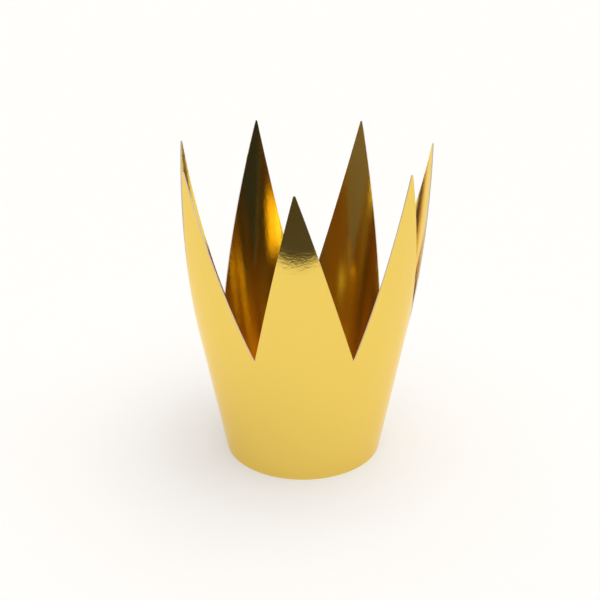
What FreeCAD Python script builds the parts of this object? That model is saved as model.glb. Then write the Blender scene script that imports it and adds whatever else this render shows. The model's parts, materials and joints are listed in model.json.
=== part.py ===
import FreeCAD, Part
import math
import os
import Sketcher
from FreeCAD import Placement, Rotation, Vector

# A party crown made from one sheet of thin card, foiled on both faces.
# The sheet is cut with a row of long spikes, rolled into a ring that flares upwards,
# and glued at the rear, where one end of it laps over a plain tab of the other end.
# The notch at the seam is deeper than the others, and the tab closes its foot.
# A small hole is punched at each side, near the base edge.
#
# Frame: +Z is up, the base edge lies at Z = 0, and the ring's axis is the Z axis.
# One spike points to the front, which is -Y. Angles run from the front towards +X.
# Lengths are in millimetres and angles in degrees.

SIZES = [
    ("total_height", "120"),
    ("base_radius", "30.7"),
    ("valley_radius", "40.4"),
    ("valley_height", "52.8"),
    ("curl_radius", "620"),
    ("spike_count", "7"),
    ("spike_lean", "3.5"),
    ("tip_width", "0.6"),
    ("card_thickness", "0.4"),
    ("lap_width", "15"),
    ("tab_height", "49.8"),
    ("tab_shoulder", "3.3"),
    ("seam_valley_height", "40"),
    ("hole_width", "3.5"),
    ("hole_height", "11.5"),
    ("hole_turn", "84"),
]

# Values that follow from the sizes:
# flare and flare_angle, the slope of the band below the spikes;
# ply, the card's thickness measured level;
# curl_centre_radius and curl_centre_height, the centre of the arc in which the spikes
# curl back towards the axis;
# spread_height and seam_spread_height, the points on the axis from which the sides of
# a notch spread, so that they cross the card squarely halfway up a spike;
# seam, where the outer end of the sheet lies, in the rearmost notch;
# tab_root and tab_radius, where the tab's top meets the side of its own spike;
# lap_start, where the inner end lies, behind the outer one.
LAYOUT = [
    ("flare", "=(Sizes.valley_radius - Sizes.base_radius) / Sizes.valley_height"),
    ("flare_angle", "=atan(flare)"),
    ("ply", "=Sizes.card_thickness / cos(flare_angle)"),
    ("curl_centre_radius", "=Sizes.valley_radius - Sizes.curl_radius * cos(flare_angle)"),
    ("curl_centre_height", "=Sizes.valley_height + Sizes.curl_radius * sin(flare_angle)"),
    ("curl_rise", "=curl_centre_height - Sizes.total_height"),
    ("tip_radius", "=curl_centre_radius + sqrt(Sizes.curl_radius^2 - curl_rise^2)"),
    ("spike_height", "=Sizes.total_height - Sizes.valley_height"),
    ("radius_gain", "=(tip_radius^2 - Sizes.valley_radius^2) / (2 * spike_height)"),
    ("spread_height", "=Sizes.valley_height + spike_height / 2 + radius_gain"),
    ("seam_radius", "=Sizes.base_radius + flare * Sizes.seam_valley_height"),
    ("seam_spike_height", "=Sizes.total_height - Sizes.seam_valley_height"),
    ("seam_radius_gain", "=(tip_radius^2 - seam_radius^2) / (2 * seam_spike_height)"),
    ("seam_spread_height", "=Sizes.seam_valley_height + seam_spike_height / 2 + seam_radius_gain"),
    ("half_pitch", "=180 / Sizes.spike_count * 1deg"),
    ("tip_half_angle", "=asin(Sizes.tip_width / (2 * tip_radius))"),
    ("notch_half_angle", "=half_pitch - tip_half_angle"),
    ("lean", "=Sizes.spike_lean * 1deg"),
    ("rear_notch", "=(2 * floor(Sizes.spike_count / 2) + 1) * half_pitch"),
    ("seam", "=rear_notch + lean"),
    ("tab_radius", "=Sizes.base_radius + flare * Sizes.tab_height"),
    ("tab_turn", "=lean - Sizes.tab_shoulder / tab_radius * 1rad"),
    ("tab_root", "=rear_notch + tab_turn"),
    ("tab_spike_height", "=Sizes.total_height - Sizes.tab_height"),
    ("tab_radius_gain", "=(tip_radius^2 - tab_radius^2) / (2 * tab_spike_height)"),
    ("tab_spread_height", "=Sizes.tab_height + tab_spike_height / 2 + tab_radius_gain"),
    ("lap_angle", "=Sizes.lap_width / Sizes.base_radius * 1rad"),
    ("lap_start", "=seam + lap_angle"),
]

# The wedge that cuts a notch starts inside the ring, ends outside it and rises past
# the tips, by these shares. It rises so little that it meets no other wedge.
WEDGE_START_SHARE = 0.7
WEDGE_END_SHARE = 1.15
WEDGE_OVERSHOOT = 0.01

# The outer half turns about a line half a ply off the axis, so that the sheet runs on
# smoothly from one radius to the other.
CENTRE_LINE_FOOT = ("Layout.ply / 2", "0")
CENTRE_LINE_TOP = ("Layout.ply / 2", "Sizes.total_height")

# The foot of a notch: its turn from the middle between two tips, its radius, its height,
# and the point on the axis from which the sides spread.
VALLEY_FOOT = ("Layout.lean", "Sizes.valley_radius", "Sizes.valley_height", "Layout.spread_height")
SEAM_FOOT = (
    "Layout.lean", "Layout.seam_radius", "Sizes.seam_valley_height", "Layout.seam_spread_height")
TAB_FOOT = (
    "Layout.tab_turn", "Layout.tab_radius", "Sizes.tab_height", "Layout.tab_spread_height")

# Names for a sketch's own origin point, its axes, and the ends of an edge.
SKETCH_ORIGIN = (-1, 1)
X_AXIS, Y_AXIS = -1, -2
START, END, CENTRE = 1, 2, 3


def fill_sheet(doc, name, rows):
    """Write one alias and one value a row."""
    sheet = doc.addObject("Spreadsheet::Sheet", name)
    for number, (alias, value) in enumerate(rows, start=1):
        sheet.set(f"A{number}", alias)
        sheet.set(f"B{number}", value)
        sheet.setAlias(f"B{number}", alias)
    doc.recompute()


def origin_feature(body, role):
    return [item for item in body.Origin.OriginFeatures if item.Role == role][0]


def upright_plane(body, name, angle):
    """A plane through the axis, turned from the XZ plane. It faces out at that angle."""
    plane = body.newObject("PartDesign::Plane", name)
    plane.AttachmentSupport = [(origin_feature(body, "XZ_Plane"), "")]
    plane.MapMode = "FlatFace"
    plane.AttachmentOffset = Placement(Vector(), Rotation(Vector(0, 1, 0), 1))
    plane.setExpression("AttachmentOffset.Rotation.Angle", angle)
    return plane


def section_plane(body, name, angle):
    """An upright plane whose own X axis points out from the axis at that angle."""
    return upright_plane(body, name, f"{angle} - 90deg")


def new_sketch(body, name, plane):
    sketch = body.newObject("Sketcher::SketchObject", name)
    sketch.AttachmentSupport = [(plane, "")]
    sketch.MapMode = "FlatFace"
    return sketch


def value_of(item, expression):
    value = item.evalExpression(expression)
    return getattr(value, "Value", value)


def bind(sketch, kind, elements, expression):
    """Add a dimension that takes its value from an expression."""
    constraint = Sketcher.Constraint(kind, *elements, value_of(sketch, expression))
    index = sketch.addConstraint(constraint)
    sketch.setExpression(f"Constraints[{index}]", expression)


def place_point(sketch, edge, end, across, up):
    bind(sketch, "DistanceX", (*SKETCH_ORIGIN, edge, end), across)
    bind(sketch, "DistanceY", (*SKETCH_ORIGIN, edge, end), up)


def line(sketch, start, end, construction=False):
    """A straight edge between two points, each given as two expressions."""
    ends = [Vector(value_of(sketch, across), value_of(sketch, up)) for across, up in (start, end)]
    return sketch.addGeometry(Part.LineSegment(*ends), construction)


def polygon(sketch, corners):
    """A closed outline with every corner held at its own place."""
    following = corners[1:] + corners[:1]
    edges = [line(sketch, start, end) for start, end in zip(corners, following)]
    for edge, next_edge in zip(edges, edges[1:] + edges[:1]):
        sketch.addConstraint(Sketcher.Constraint("Coincident", edge, END, next_edge, START))
    for edge, (across, up) in zip(edges, corners):
        place_point(sketch, edge, START, across, up)


def curl_arc(sketch, shift, radius):
    """An upright arc from the top of the band to the tips."""
    centre = Vector(
        value_of(sketch, f"Layout.curl_centre_radius + {shift}"),
        value_of(sketch, "Layout.curl_centre_height"))
    size = value_of(sketch, radius)
    start = -math.radians(value_of(sketch, "Layout.flare_angle"))
    end = -math.asin(value_of(sketch, "Layout.curl_rise") / size)
    circle = Part.Circle(centre, Vector(0, 0, 1), size)
    return sketch.addGeometry(Part.ArcOfCircle(circle, start, end))


def full_section(body, name, plane, shift):
    """The card's section from the base edge to the tip: a straight band, then an arc."""
    sketch = new_sketch(body, name, plane)
    base = f"Sizes.base_radius + {shift}"
    valley = f"Sizes.valley_radius + {shift}"
    tip = f"Layout.tip_radius + {shift}"
    inner_radius = "Sizes.curl_radius - Sizes.card_thickness"
    card_across = "Sizes.card_thickness * cos(Layout.flare_angle)"
    card_down = "Sizes.card_thickness * sin(Layout.flare_angle)"
    base_corner = (base, "0")
    inner_base_corner = (f"{base} - Layout.ply", "0")
    inner_valley = (f"{valley} - {card_across}", f"Sizes.valley_height + {card_down}")
    tip_corner = (tip, "Sizes.total_height")
    inner_tip_corner = (f"{tip} - Sizes.card_thickness", "Sizes.total_height")
    outer = line(sketch, base_corner, (valley, "Sizes.valley_height"))
    outer_curl = curl_arc(sketch, shift, "Sizes.curl_radius")
    top = line(sketch, tip_corner, inner_tip_corner)
    inner_curl = curl_arc(sketch, shift, inner_radius)
    inner = line(sketch, inner_valley, inner_base_corner)
    foot = line(sketch, inner_base_corner, base_corner)
    sketch.addConstraint([
        Sketcher.Constraint("Tangent", outer, END, outer_curl, START),
        Sketcher.Constraint("Coincident", outer_curl, END, top, START),
        Sketcher.Constraint("Coincident", top, END, inner_curl, END),
        Sketcher.Constraint("Tangent", inner_curl, START, inner, START),
        Sketcher.Constraint("Coincident", inner, END, foot, START),
        Sketcher.Constraint("Coincident", foot, END, outer, START),
        Sketcher.Constraint("Coincident", outer_curl, CENTRE, inner_curl, CENTRE),
        Sketcher.Constraint("Horizontal", top),
        Sketcher.Constraint("PointOnObject", outer, START, X_AXIS),
        Sketcher.Constraint("Horizontal", foot),
        Sketcher.Constraint("Parallel", outer, inner),
    ])
    bind(sketch, "DistanceX", (*SKETCH_ORIGIN, outer, START), base)
    place_point(sketch, outer, END, valley, "Sizes.valley_height")
    bind(sketch, "DistanceY", (*SKETCH_ORIGIN, outer_curl, END), "Sizes.total_height")
    bind(sketch, "Radius", (outer_curl,), "Sizes.curl_radius")
    bind(sketch, "Radius", (inner_curl,), inner_radius)
    return sketch


def band_section(body, name, plane, low, high, shift):
    """A stretch of the straight band's section, between two heights."""
    sketch = new_sketch(body, name, plane)
    low_radius = f"Sizes.base_radius + Layout.flare * {low} + {shift}"
    high_radius = f"Sizes.base_radius + Layout.flare * {high} + {shift}"
    polygon(sketch, [
        (low_radius, low),
        (high_radius, high),
        (f"{high_radius} - Layout.ply", high),
        (f"{low_radius} - Layout.ply", low),
    ])
    return sketch


def sweep_round(body, name, sketch, angle, axis="V_Axis", clockwise=False):
    """Turn a section about an upright axis, seen from above."""
    sector = body.newObject("PartDesign::Revolution", name)
    sector.Profile = sketch
    sector.ReferenceAxis = (sketch, [axis])
    sector.Reversed = clockwise
    sector.setExpression("Angle", angle)
    return sector


def add_outer_end(body):
    """The half of the sheet that lies one ply out at the lap, and its side of the seam notch."""
    at_lap_start = section_plane(body, "lap_start_plane", "Layout.lap_start")
    section = full_section(body, "lap_section", at_lap_start, "Layout.ply")
    sweep_round(body, "lap", section, "Layout.lap_angle", clockwise=True)

    section = full_section(body, "outer_half_section", at_lap_start, "Layout.ply")
    centre_line = line(section, CENTRE_LINE_FOOT, CENTRE_LINE_TOP, construction=True)
    place_point(section, centre_line, START, *CENTRE_LINE_FOOT)
    place_point(section, centre_line, END, *CENTRE_LINE_TOP)
    sweep_round(body, "outer_half", section, "180deg", axis="Axis0")
    cut_notch(body, "outer_end_notch", "Layout.rear_notch", SEAM_FOOT)


def add_inner_end(body):
    """The other half, its side of the seam notch, and the plain tab under the lap."""
    at_tab_root = section_plane(body, "tab_root_plane", "Layout.tab_root")
    section = full_section(body, "inner_half_section", at_tab_root, "0")
    sweep_round(body, "inner_half", section, "Layout.tab_root + 180deg - Layout.lap_start", clockwise=True)
    cut_notch(body, "inner_end_notch", "Layout.rear_notch", TAB_FOOT)
    section = band_section(body, "tab_section", at_tab_root, "0", "Sizes.tab_height", "0")
    sweep_round(body, "tab", section, "Layout.lap_start - Layout.tab_root")


def cut_notches(body):
    """The notch beside the seam notch, repeated round the rest of the ring."""
    notch = cut_notch(body, "notch", "Layout.rear_notch + 2 * Layout.half_pitch", VALLEY_FOOT)
    notches = body.newObject("PartDesign::PolarPattern", "notches")
    notches.Originals = [notch]
    notches.Axis = (origin_feature(body, "Z_Axis"), [""])
    notches.Mode = "Spacing"
    notches.setExpression("Offset", "2 * Layout.half_pitch")
    notches.setExpression("Occurrences", "Sizes.spike_count - 1")
    body.Tip = notches


def wedge_section(body, name, plane, distance, foot):
    """A triangle across a notch, at a distance out from the axis."""
    sketch = new_sketch(body, name, plane)
    sketch.AttachmentOffset = Placement(Vector(0, 0, 1), Rotation())
    sketch.setExpression("AttachmentOffset.Base.z", distance)
    turn, radius, height, spread = foot
    drop = f"({height} - {spread})"
    rise = f"(Sizes.total_height - {spread})"
    foot_across = f"({distance}) * tan({turn})"
    foot_up = f"{drop} * ({distance}) / ({radius} * cos({turn}))"
    tip_across = f"({distance}) * tan(Layout.notch_half_angle)"
    tip_up = f"{rise} * ({distance}) / (Layout.tip_radius * cos(Layout.notch_half_angle))"
    past = WEDGE_OVERSHOOT
    top_up = f"{spread} + {1 + past} * {tip_up} - {past} * {foot_up}"
    polygon(sketch, [
        (foot_across, f"{spread} + {foot_up}"),
        (f"{1 + past} * {tip_across} - {past} * {foot_across}", top_up),
        (f"-{1 + past} * {tip_across} - {past} * {foot_across}", top_up),
    ])
    return sketch


def cut_notch(body, name, angle, foot):
    """One V between two spikes, cut square to the card."""
    across = upright_plane(body, f"{name}_plane", angle)
    start = f"{WEDGE_START_SHARE} * Sizes.valley_radius"
    end = f"{WEDGE_END_SHARE} * Layout.tip_radius"
    notch = body.newObject("PartDesign::SubtractiveLoft", name)
    notch.Profile = wedge_section(body, f"{name}_start", across, start, foot)
    notch.Sections = [wedge_section(body, f"{name}_end", across, end, foot)]
    notch.Ruled = True
    return notch


def punch_hole(body, side, angle):
    """A round hole through the wall, punched from the axis outwards."""
    plane = upright_plane(body, f"{side}_hole_plane", angle)
    sketch = new_sketch(body, f"{side}_hole_outline", plane)
    height = value_of(sketch, "Sizes.hole_height")
    radius = value_of(sketch, "Sizes.hole_width / 2")
    outline = sketch.addGeometry(Part.Circle(Vector(0, height), Vector(0, 0, 1), radius))
    sketch.addConstraint(Sketcher.Constraint("PointOnObject", outline, CENTRE, Y_AXIS))
    bind(sketch, "DistanceY", (*SKETCH_ORIGIN, outline, CENTRE), "Sizes.hole_height")
    bind(sketch, "Diameter", (outline,), "Sizes.hole_width")
    hole = body.newObject("PartDesign::Pocket", f"{side}_hole")
    hole.Profile = sketch
    hole.Type = "ThroughAll"
    hole.Reversed = True
    return hole


def build_crown(doc):
    body = doc.addObject("PartDesign::Body", "crown")
    body.Label = "crown"
    add_outer_end(body)
    add_inner_end(body)
    cut_notches(body)
    punch_hole(body, "right", "Sizes.hole_turn * 1deg")
    body.Tip = punch_hole(body, "left", "-Sizes.hole_turn * 1deg")
    return body


def check_document(doc):
    for item in doc.Objects:
        if "Invalid" in item.State or "Error" in item.State:
            raise RuntimeError(f"{item.Name} failed: {item.State}")


def export_part(body):
    shape = body.Shape
    if shape.isNull() or not shape.isValid():
        raise RuntimeError(f"{body.Label} has no valid shape")
    shape.exportStep(f"parts/{body.Label}.step")
    print(body.Label, "solids", len(shape.Solids), "faces", len(shape.Faces),
          "volume", round(shape.Volume, 2), "box", shape.BoundBox)


def main():
    doc = FreeCAD.newDocument("PaperCrown")
    fill_sheet(doc, "Sizes", SIZES)
    fill_sheet(doc, "Layout", LAYOUT)
    crown = build_crown(doc)
    doc.recompute()
    check_document(doc)
    os.makedirs("parts", exist_ok=True)
    export_part(crown)


main()
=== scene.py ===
"""A small party crown of gold foil card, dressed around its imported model.

The card is one sheet: seven long spikes on a flaring band, glued at the rear, where its
outer end laps over a plain tab. Angles run from the front, which is -Y, towards +X.
"""

import json
import math

import bmesh
import bpy
import numpy as np
from mathutils import Matrix, Vector

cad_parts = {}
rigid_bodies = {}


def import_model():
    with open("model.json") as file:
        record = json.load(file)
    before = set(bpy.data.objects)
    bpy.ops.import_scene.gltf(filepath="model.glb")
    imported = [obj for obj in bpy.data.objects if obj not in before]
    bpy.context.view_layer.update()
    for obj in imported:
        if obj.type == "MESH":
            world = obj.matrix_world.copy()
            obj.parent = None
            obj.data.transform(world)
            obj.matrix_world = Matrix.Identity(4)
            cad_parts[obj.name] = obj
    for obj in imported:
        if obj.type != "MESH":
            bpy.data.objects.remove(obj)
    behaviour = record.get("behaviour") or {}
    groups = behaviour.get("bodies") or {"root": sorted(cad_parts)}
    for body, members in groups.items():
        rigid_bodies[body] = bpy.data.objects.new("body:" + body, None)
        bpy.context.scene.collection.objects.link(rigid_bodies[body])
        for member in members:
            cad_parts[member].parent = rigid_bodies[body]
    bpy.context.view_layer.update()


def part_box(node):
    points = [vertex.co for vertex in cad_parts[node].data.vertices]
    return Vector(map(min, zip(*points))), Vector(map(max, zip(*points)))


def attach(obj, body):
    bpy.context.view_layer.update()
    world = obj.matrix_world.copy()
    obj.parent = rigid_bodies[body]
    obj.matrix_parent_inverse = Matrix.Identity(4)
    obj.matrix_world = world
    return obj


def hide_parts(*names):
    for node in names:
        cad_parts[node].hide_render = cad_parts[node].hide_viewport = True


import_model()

MM = 0.001

# The card's sizes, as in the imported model.
TOTAL_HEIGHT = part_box("crown")[1].z
BASE_RADIUS = 30.7 * MM
VALLEY_RADIUS = 40.4 * MM
VALLEY_HEIGHT = 52.8 * MM
CURL_RADIUS = 620 * MM
SPIKE_COUNT = 7
SPIKE_LEAN = math.radians(3.5)
TIP_WIDTH = 0.6 * MM
CARD_THICKNESS = 0.4 * MM
LAP_WIDTH = 15 * MM
TAB_HEIGHT = 49.8 * MM
TAB_SHOULDER = 3.3 * MM
SEAM_VALLEY_HEIGHT = 40 * MM
HOLE_WIDTH = 3.5 * MM
HOLE_HEIGHT = 11.5 * MM
HOLE_TURN = math.radians(84)

# Values that follow from them.
FLARE = (VALLEY_RADIUS - BASE_RADIUS) / VALLEY_HEIGHT
FLARE_ANGLE = math.atan(FLARE)
PLY = CARD_THICKNESS / math.cos(FLARE_ANGLE)
CURL_CENTRE_RADIUS = VALLEY_RADIUS - CURL_RADIUS * math.cos(FLARE_ANGLE)
CURL_CENTRE_HEIGHT = VALLEY_HEIGHT + CURL_RADIUS * math.sin(FLARE_ANGLE)
PITCH = 2 * math.pi / SPIKE_COUNT
REAR_NOTCH = (2 * (SPIKE_COUNT // 2) + 1) * PITCH / 2
SEAM = REAR_NOTCH + SPIKE_LEAN
LAP_START = SEAM + LAP_WIDTH / BASE_RADIUS

# The tips of the real spikes stand a little further out or in than the curl gives,
# outwards where positive. They are listed from the front one towards +X, as what a
# straight lean gives and then what a bend adds. The front spike is a little short.
TIP_LEANS = [0.0 * MM, -0.3 * MM, -0.2 * MM, -0.1 * MM, -0.6 * MM, -2.7 * MM, 0.1 * MM]
TIP_BENDS = [2.4 * MM, 0.0 * MM, 0.0 * MM, 0.0 * MM, -0.7 * MM, 0.4 * MM, 0.0 * MM]
FRONT_TIP_DROP = 1.1 * MM

# The grid that the card is drawn on.
COLUMNS = 40
TAB_COLUMNS = 14
BAND_ROWS = 32
TAB_ROWS = 8
FOOT_ROWS = 3
SPIKE_ROWS = 56
GLUE_FILM = 0.04 * MM
MERGE_DISTANCE = 0.01 * MM

# The punch that cuts the holes, and the angle past which an edge stays sharp.
HOLE_SIDES = 40
PUNCH_LENGTH = 6 * MM
SHARP_ANGLE = math.radians(40)

# The foil and the card under it.
GOLD = (0.86, 0.62, 0.12, 1.0)
FOIL_ROUGHNESS = 0.05
EDGE_TINT = (1.0, 0.90, 0.66, 1.0)
LACQUER = 0.3
LACQUER_ROUGHNESS = 0.35
GRAIN_SIZE = 0.9 * MM
GRAIN_DEPTH = 0.02 * MM
GRAIN_DETAIL = 4.0
GRAIN_ROUGHNESS = 0.6
CORE_LIGHT = (0.98, 0.93, 0.85, 1.0)
CORE_DARK = (0.94, 0.84, 0.70, 1.0)
CORE_ROUGHNESS = 0.9
FIBRE_SIZE = 0.4 * MM
FIBRE_DETAIL = 3.0

# The floor, a hair below the card's base edge: a plain white board under soft light, which
# ends in front of the crown. Past that edge the studio is dim. The glow is the share of
# the board's white that is its own.
BOARD_FRONT = -0.16
BOARD_BACK = 12.0
BOARD_HALF_WIDTH = 12.0
FLOOR_DROP = 0.02 * MM
BOARD_GLOW = 0.4
BOARD_WHITE = (1.0, 0.99, 0.97, 1.0)

# The studio around it, which the foil mirrors. Each wall is a column of colours by
# height in degrees, from straight down to the wide soft light overhead.
LEFT_SOFT_LIGHT = (1.3, 1.3, 1.3)
RIGHT_SOFT_LIGHT = (2.5, 2.5, 2.5)
PAST_BOARD = (0.08, 0.07, 0.06)
LEFT_WALL = [
    (-90, PAST_BOARD), (-20, PAST_BOARD), (-11, (0.22, 0.18, 0.17)), (-6, (0.22, 0.18, 0.17)),
    (-4, (0.14, 0.10, 0.08)), (0, (0.06, 0.05, 0.05)), (12, (0.05, 0.04, 0.04)),
    (16, (0.15, 0.11, 0.10)), (27, (0.25, 0.19, 0.17)), (44, (0.30, 0.26, 0.24)),
    (54, LEFT_SOFT_LIGHT), (90, LEFT_SOFT_LIGHT),
]
RIGHT_WALL = [
    (-90, PAST_BOARD), (-20, PAST_BOARD), (-12, (0.03, 0.03, 0.03)), (-3, (0.03, 0.03, 0.03)),
    (1, (0.24, 0.20, 0.20)), (8, (0.23, 0.18, 0.17)), (12, (0.20, 0.13, 0.11)),
    (20, (0.18, 0.12, 0.10)), (24, (0.09, 0.06, 0.05)), (29, (0.09, 0.06, 0.05)),
    (42, (0.50, 0.42, 0.38)), (54, RIGHT_SOFT_LIGHT), (90, RIGHT_SOFT_LIGHT),
]

# The stretch, as the X part of a direction, over which the left wall gives way to the right.
WALL_SIDES = (-0.35, 0.25)

# Windows in those walls: turn and height from and to, in degrees, and how far the height
# climbs for each degree of turn. The sides fade over WINDOW_SOFT degrees, the top and
# bottom over half as many.
WINDOW_LIGHT = (2.2, 2.5, 2.8, 1.0)
WINDOWS = [
    (76, 107, 17.5, 25.5, 0.0),
    (-140, -124, 9, 14.5, 0.0),
    (-162, -112, 10.9, 12.8, -0.105),
    (43, 51, -1, 4, 0.0),
]
WINDOW_SOFT = 1.5

# The camera, which looks at a point on the axis.
LOOK_AT = Vector((0, 0, 60 * MM))
CAMERA_DISTANCE = 394.5 * MM
CAMERA_TURN = math.radians(3.04)
CAMERA_RISE = math.radians(23.69)
CAMERA_ROLL = math.radians(0.19)
LENS = 61.76
SHIFT = (-0.0053, 0.0038)


def wall_radius(height):
    """The outer face's distance from the axis, on the band and up the curled spikes."""
    if height <= VALLEY_HEIGHT:
        return BASE_RADIUS + FLARE * height
    rise = CURL_CENTRE_HEIGHT - height
    return CURL_CENTRE_RADIUS + math.sqrt(CURL_RADIUS ** 2 - rise ** 2)


def around(radius, angle, height):
    return Vector((radius * math.sin(angle), -radius * math.cos(angle), height))


def cut_line(notch, valley_height, side):
    """The angle at which one side of a notch crosses the wall, as a function of height.

    The cut is a flat plane through the notch's foot, the spike's tip and a point on the
    axis, so that it crosses the card squarely halfway up.
    """
    tip_radius = wall_radius(TOTAL_HEIGHT)
    valley_radius = wall_radius(valley_height)
    rise = TOTAL_HEIGHT - valley_height
    spread_height = valley_height + rise / 2 + (tip_radius ** 2 - valley_radius ** 2) / (2 * rise)
    apex = Vector((0, 0, spread_height))
    half_width = PITCH / 2 - math.asin(TIP_WIDTH / (2 * tip_radius))
    foot = around(valley_radius, notch + SPIKE_LEAN, valley_height)
    tip = around(tip_radius, notch + side * half_width, TOTAL_HEIGHT)
    normal = (foot - apex).cross(tip - apex)
    level = math.hypot(normal.x, normal.y)
    turn = math.atan2(normal.y, normal.x)

    def angle(height):
        if height <= valley_height:
            return notch + SPIKE_LEAN
        share = normal.z * (spread_height - height) / (wall_radius(height) * level)
        return nearest(turn + math.asin(share), turn + math.pi - math.asin(share), notch)

    return angle


def nearest(first, second, target):
    """Whichever of two angles lies nearer the target, in the target's own turn."""
    full = 2 * math.pi
    near = [angle + full * round((target - angle) / full) for angle in (first, second)]
    return min(near, key=lambda angle: abs(angle - target))


def row_heights():
    """Heights of the grid's rows. They include the feet of both kinds of notch and the tab's top."""
    stretches = [
        (0, SEAM_VALLEY_HEIGHT, BAND_ROWS),
        (SEAM_VALLEY_HEIGHT, TAB_HEIGHT, TAB_ROWS),
        (TAB_HEIGHT, VALLEY_HEIGHT, FOOT_ROWS),
        (VALLEY_HEIGHT, TOTAL_HEIGHT, SPIKE_ROWS),
    ]
    heights = [np.linspace(low, high, rows, endpoint=False) for low, high, rows in stretches]
    return [float(height) for height in np.concatenate(heights)] + [TOTAL_HEIGHT]


def spike_share(height):
    """How far up the spikes a height lies: 0 at their feet and 1 at their tips."""
    return max(0, height - VALLEY_HEIGHT) / (TOTAL_HEIGHT - VALLEY_HEIGHT)


def spike_bend(spike, height):
    """How far a spike's own bend moves it outwards at a height."""
    share = spike_share(height)
    index = spike % SPIKE_COUNT
    return TIP_LEANS[index] * share + TIP_BENDS[index] * share ** 2


def ply_shift(angle):
    """The outer half's extra radius: it grows to one ply where it laps over the tab."""
    lap = PLY + GLUE_FILM
    half_turn = min(max(angle - LAP_START, 0), math.pi)
    return lap * (1 + math.cos(half_turn)) / 2


def card_point(angle, height, spike, shift):
    point = around(wall_radius(height) + spike_bend(spike, height) + shift, angle, height)
    if spike % SPIKE_COUNT == 0:
        point.z -= FRONT_TIP_DROP * spike_share(height) ** 2
    return point


def add_panel(mesh, rows, columns, low, high, point):
    """A stretch of the grid between two lines that run up the card."""
    grid = []
    for height in rows:
        angles = np.linspace(low(height), high(height), columns + 1)
        grid.append([mesh.verts.new(point(float(angle), height)) for angle in angles])
    for lower, upper in zip(grid, grid[1:]):
        for corners in zip(lower, lower[1:], upper[1:], upper):
            mesh.faces.new(corners)
    return grid


def notch_side(notch_index, side):
    """The cut line on one side of a notch. The notch at the seam is the deeper one."""
    notch = REAR_NOTCH + notch_index * PITCH
    at_seam = notch_index % SPIKE_COUNT == 0
    return cut_line(notch, SEAM_VALLEY_HEIGHT if at_seam else VALLEY_HEIGHT, side)


def card_surface():
    """The card's outer face: one panel for each spike from the seam round, then the tab."""
    mesh = bmesh.new()
    rows = row_heights()
    first_spike = SPIKE_COUNT // 2 + 1
    for index in range(SPIKE_COUNT):
        spike = first_spike + index

        def point(angle, height, spike=spike):
            return card_point(angle, height, spike, ply_shift(angle))

        add_panel(mesh, rows, COLUMNS, notch_side(index, 1), notch_side(index + 1, -1), point)

    def tab_end(height):
        return LAP_START + 2 * math.pi

    def tab_point(angle, height):
        return card_point(angle, height, 0, 0)

    tab_rows = [height for height in rows if height < TAB_HEIGHT + GLUE_FILM]
    add_panel(mesh, tab_rows, TAB_COLUMNS, notch_side(SPIKE_COUNT, -1), tab_end, tab_point)
    bmesh.ops.remove_doubles(mesh, verts=mesh.verts, dist=MERGE_DISTANCE)
    return mesh


def new_object(name, mesh, materials):
    data = bpy.data.meshes.new(name)
    mesh.to_mesh(data)
    mesh.free()
    piece = bpy.data.objects.new(name, data)
    bpy.context.scene.collection.objects.link(piece)
    for material in materials:
        data.materials.append(material)
    return piece


def apply_modifiers(piece):
    """Keep the mesh that the modifiers give, in place of the one they work on."""
    graph = bpy.context.evaluated_depsgraph_get()
    data = bpy.data.meshes.new_from_object(piece.evaluated_get(graph))
    piece.modifiers.clear()
    piece.data = data


def hole_cutter(turn, material):
    """A rod along the way the hole was punched, square to the axis."""
    mesh = bmesh.new()
    middle = around(wall_radius(HOLE_HEIGHT), turn, HOLE_HEIGHT)
    out = around(1, turn, 0)
    place = Matrix.Translation(middle) @ out.to_track_quat("Z", "Y").to_matrix().to_4x4()
    bmesh.ops.create_cone(mesh, segments=HOLE_SIDES, radius1=HOLE_WIDTH / 2, cap_ends=True,
                          radius2=HOLE_WIDTH / 2, depth=PUNCH_LENGTH, matrix=place)
    cutter = new_object("hole_cutter", mesh, [material, material])
    for face in cutter.data.polygons:
        face.material_index = 1
    return cutter


def press_tab_edges(data):
    """The tab's top and end lie flat against the wall; their faces take the foil, so no core shows
    there.
    """
    tab_start = SEAM - TAB_SHOULDER / BASE_RADIUS
    tab_stop = LAP_START + CARD_THICKNESS / BASE_RADIUS
    for face in data.polygons:
        centre = face.center
        turn = math.atan2(centre.x, -centre.y) % (2 * math.pi)
        radius = math.hypot(centre.x, centre.y)
        on_tab = tab_start < turn < tab_stop and radius < wall_radius(centre.z)
        at_top = abs(centre.z - TAB_HEIGHT) < CARD_THICKNESS
        at_end = abs(turn - LAP_START) * radius < CARD_THICKNESS
        if on_tab and (at_top or at_end):
            face.material_index = 0


def build_crown(foil, core):
    """The card with its real thickness. Its cut edges and the holes' walls show the core."""
    crown = new_object("crown_card", card_surface(), [foil, core])
    solid = crown.modifiers.new("thickness", "SOLIDIFY")
    solid.thickness = CARD_THICKNESS
    solid.offset = -1
    solid.use_even_offset = True
    solid.material_offset_rim = 1
    for turn in (HOLE_TURN, -HOLE_TURN):
        cutter = hole_cutter(turn, core)
        punch = crown.modifiers.new("punch", "BOOLEAN")
        punch.operation = "DIFFERENCE"
        punch.object = cutter
        punch.solver = "EXACT"
    apply_modifiers(crown)
    for cutter in [item for item in bpy.data.objects if item.name.startswith("hole_cutter")]:
        bpy.data.objects.remove(cutter)
    press_tab_edges(crown.data)
    crown.data.shade_smooth()
    crown.data.set_sharp_from_angle(angle=SHARP_ANGLE)
    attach(crown, "root")
    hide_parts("crown")
    return crown


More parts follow.
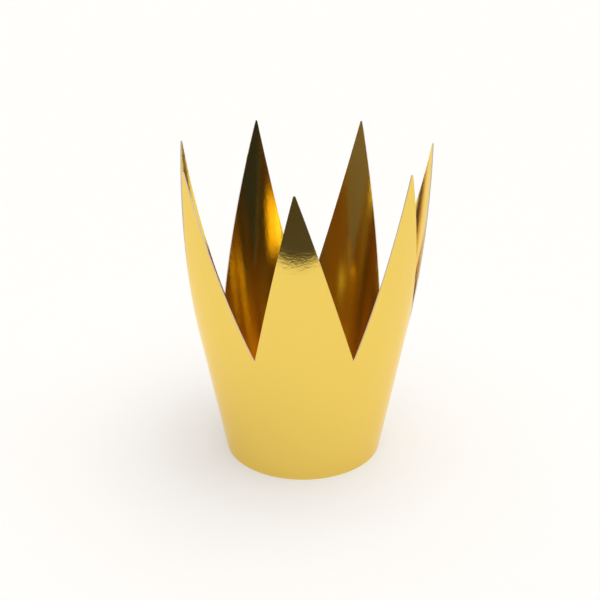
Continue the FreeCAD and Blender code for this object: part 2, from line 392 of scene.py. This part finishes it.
class Nodes:
    """A material's or world's nodes, added and joined in short calls."""

    def __init__(self, owner):
        owner.use_nodes = True
        self.tree = owner.node_tree
        self.tree.nodes.clear()

    def add(self, kind, links=(), **values):
        node = self.tree.nodes.new(kind)
        for name, value in values.items():
            if name in node.bl_rna.properties:
                setattr(node, name, value)
            else:
                node.inputs[name.replace("_", " ")].default_value = value
        for name, source in dict(links).items():
            self.tree.links.new(source, node.inputs[name])
        return node

    def join(self, node, socket):
        self.tree.links.new(node.outputs[0], socket)

    def calc(self, operation, *values):
        """A sum on one or two values, each a number or another node's output."""
        node = self.add("ShaderNodeMath", operation=operation)
        for socket, value in zip(node.inputs, values):
            self.fill(socket, value)
        return node.outputs[0]

    def fill(self, socket, value):
        if isinstance(value, bpy.types.NodeSocket):
            self.tree.links.new(value, socket)
        else:
            socket.default_value = value

    def rise(self, value, low, high):
        """0 below low, 1 above high, and a smooth step between them."""
        node = self.add("ShaderNodeMapRange", {"Value": value}, interpolation_type="SMOOTHSTEP",
                        From_Min=low, From_Max=high)
        return node.outputs["Result"]

    def between(self, value, low, high, soft):
        """1 between low and high, and 0 outside, with soft edges inside them."""
        up = self.rise(value, low, low + soft)
        down = self.rise(value, high - soft, high)
        return self.calc("SUBTRACT", up, down)

    def blend(self, share, first, second):
        """A colour that goes from the first to the second."""
        node = self.add("ShaderNodeMix", data_type="RGBA")
        self.fill(node.inputs["Factor"], share)
        for socket, colour in ((node.inputs[6], first), (node.inputs[7], second)):
            self.fill(socket, colour)
        return node.outputs[2]


def foil_material():
    """Mirror gold foil with a fine grain, under a thin lacquer."""
    material = bpy.data.materials.new("gold_foil")
    nodes = Nodes(material)
    place = nodes.add("ShaderNodeTexCoord")
    grain = nodes.add("ShaderNodeTexNoise", {"Vector": place.outputs["Object"]},
                      Scale=1 / GRAIN_SIZE, Detail=GRAIN_DETAIL, Roughness=GRAIN_ROUGHNESS)
    bump = nodes.add("ShaderNodeBump", {"Height": grain.outputs["Fac"]},
                     Strength=1.0, Distance=GRAIN_DEPTH)
    shader = nodes.add("ShaderNodeBsdfPrincipled", {"Normal": bump.outputs["Normal"]},
                       Metallic=1.0, Roughness=FOIL_ROUGHNESS, Base_Color=GOLD,
                       Specular_Tint=EDGE_TINT, Coat_Weight=LACQUER,
                       Coat_Roughness=LACQUER_ROUGHNESS)
    nodes.add("ShaderNodeOutputMaterial", {"Surface": shader.outputs["BSDF"]})
    return material


def core_material():
    """The pale fibrous card seen at cut edges."""
    material = bpy.data.materials.new("card_core")
    nodes = Nodes(material)
    place = nodes.add("ShaderNodeTexCoord")
    fibre = nodes.add("ShaderNodeTexNoise", {"Vector": place.outputs["Object"]},
                      Scale=1 / FIBRE_SIZE, Detail=FIBRE_DETAIL)
    colour = nodes.blend(fibre.outputs["Fac"], CORE_LIGHT, CORE_DARK)
    shader = nodes.add("ShaderNodeBsdfPrincipled", {"Base Color": colour},
                       Roughness=CORE_ROUGHNESS)
    nodes.add("ShaderNodeOutputMaterial", {"Surface": shader.outputs["BSDF"]})
    return material


def floor_material():
    """A plain white board. Part of its white is its own, so the shadow on it stays faint."""
    material = bpy.data.materials.new("white_board")
    nodes = Nodes(material)
    lit = nodes.add("ShaderNodeBsdfDiffuse", Color=BOARD_WHITE)
    glow = nodes.add("ShaderNodeEmission", Color=BOARD_WHITE, Strength=1.0)
    board = nodes.add("ShaderNodeMixShader", Fac=BOARD_GLOW)
    nodes.join(lit, board.inputs[1])
    nodes.join(glow, board.inputs[2])
    nodes.add("ShaderNodeOutputMaterial", {"Surface": board.outputs[0]})
    return material


def build_floor():
    mesh = bmesh.new()
    corners = [
        (-BOARD_HALF_WIDTH, BOARD_FRONT), (BOARD_HALF_WIDTH, BOARD_FRONT),
        (BOARD_HALF_WIDTH, BOARD_BACK), (-BOARD_HALF_WIDTH, BOARD_BACK),
    ]
    mesh.faces.new([mesh.verts.new((x, y, 0)) for x, y in corners])
    floor = new_object("floor", mesh, [floor_material()])
    floor.location.z = -FLOOR_DROP
    return floor


def wall_colours(nodes, rise, wall):
    """The colours of one wall, from straight down at 0 to straight up at 1."""
    share = nodes.calc("MULTIPLY_ADD", rise, 1 / 180, 0.5)
    node = nodes.add("ShaderNodeValToRGB", {"Fac": share})
    stops = node.color_ramp.elements
    for stop in list(stops)[1:]:
        stops.remove(stop)
    for height, colour in wall:
        stops.new(height / 180 + 0.5).color = (*colour, 1.0)
    stops.remove(stops[0])
    return node.outputs["Color"]


def build_world():
    """A dim studio under a wide soft light, with daylight in its windows."""
    world = bpy.data.worlds.new("studio")
    bpy.context.scene.world = world
    nodes = Nodes(world)
    way = nodes.add("ShaderNodeTexCoord")
    parts = nodes.add("ShaderNodeSeparateXYZ", {"Vector": way.outputs["Generated"]})
    front = nodes.calc("MULTIPLY", parts.outputs["Y"], -1.0)
    turn = nodes.calc("DEGREES", nodes.calc("ARCTAN2", parts.outputs["X"], front))
    rise = nodes.calc("DEGREES", nodes.calc("ARCSINE", parts.outputs["Z"]))
    left, right = (wall_colours(nodes, rise, wall) for wall in (LEFT_WALL, RIGHT_WALL))
    studio = nodes.blend(nodes.rise(parts.outputs["X"], *WALL_SIDES), left, right)
    for turn_from, turn_to, low, high, slope in WINDOWS:
        level = nodes.calc("SUBTRACT", rise, nodes.calc("MULTIPLY", turn, slope))
        window = nodes.calc("MULTIPLY", nodes.between(turn, turn_from, turn_to, WINDOW_SOFT),
                            nodes.between(level, low, high, WINDOW_SOFT / 2))
        studio = nodes.blend(window, studio, WINDOW_LIGHT)
    background = nodes.add("ShaderNodeBackground", {"Color": studio}, Strength=1.0)
    nodes.add("ShaderNodeOutputWorld", {"Surface": background.outputs["Background"]})


def build_camera():
    data = bpy.data.cameras.new("camera")
    data.lens = LENS
    data.shift_x, data.shift_y = SHIFT
    camera = bpy.data.objects.new("camera", data)
    bpy.context.scene.collection.objects.link(camera)
    away = around(math.cos(CAMERA_RISE), CAMERA_TURN, math.sin(CAMERA_RISE))
    aim = away.to_track_quat("Z", "Y").to_matrix().to_4x4()
    roll = Matrix.Rotation(-CAMERA_ROLL, 4, "Z")
    camera.matrix_world = Matrix.Translation(LOOK_AT + CAMERA_DISTANCE * away) @ aim @ roll
    bpy.context.scene.camera = camera
    return camera


crown = build_crown(foil_material(), core_material())
build_floor()
build_world()
build_camera()
bpy.context.scene.view_settings.view_transform = "Standard"

bpy.context.view_layer.update()
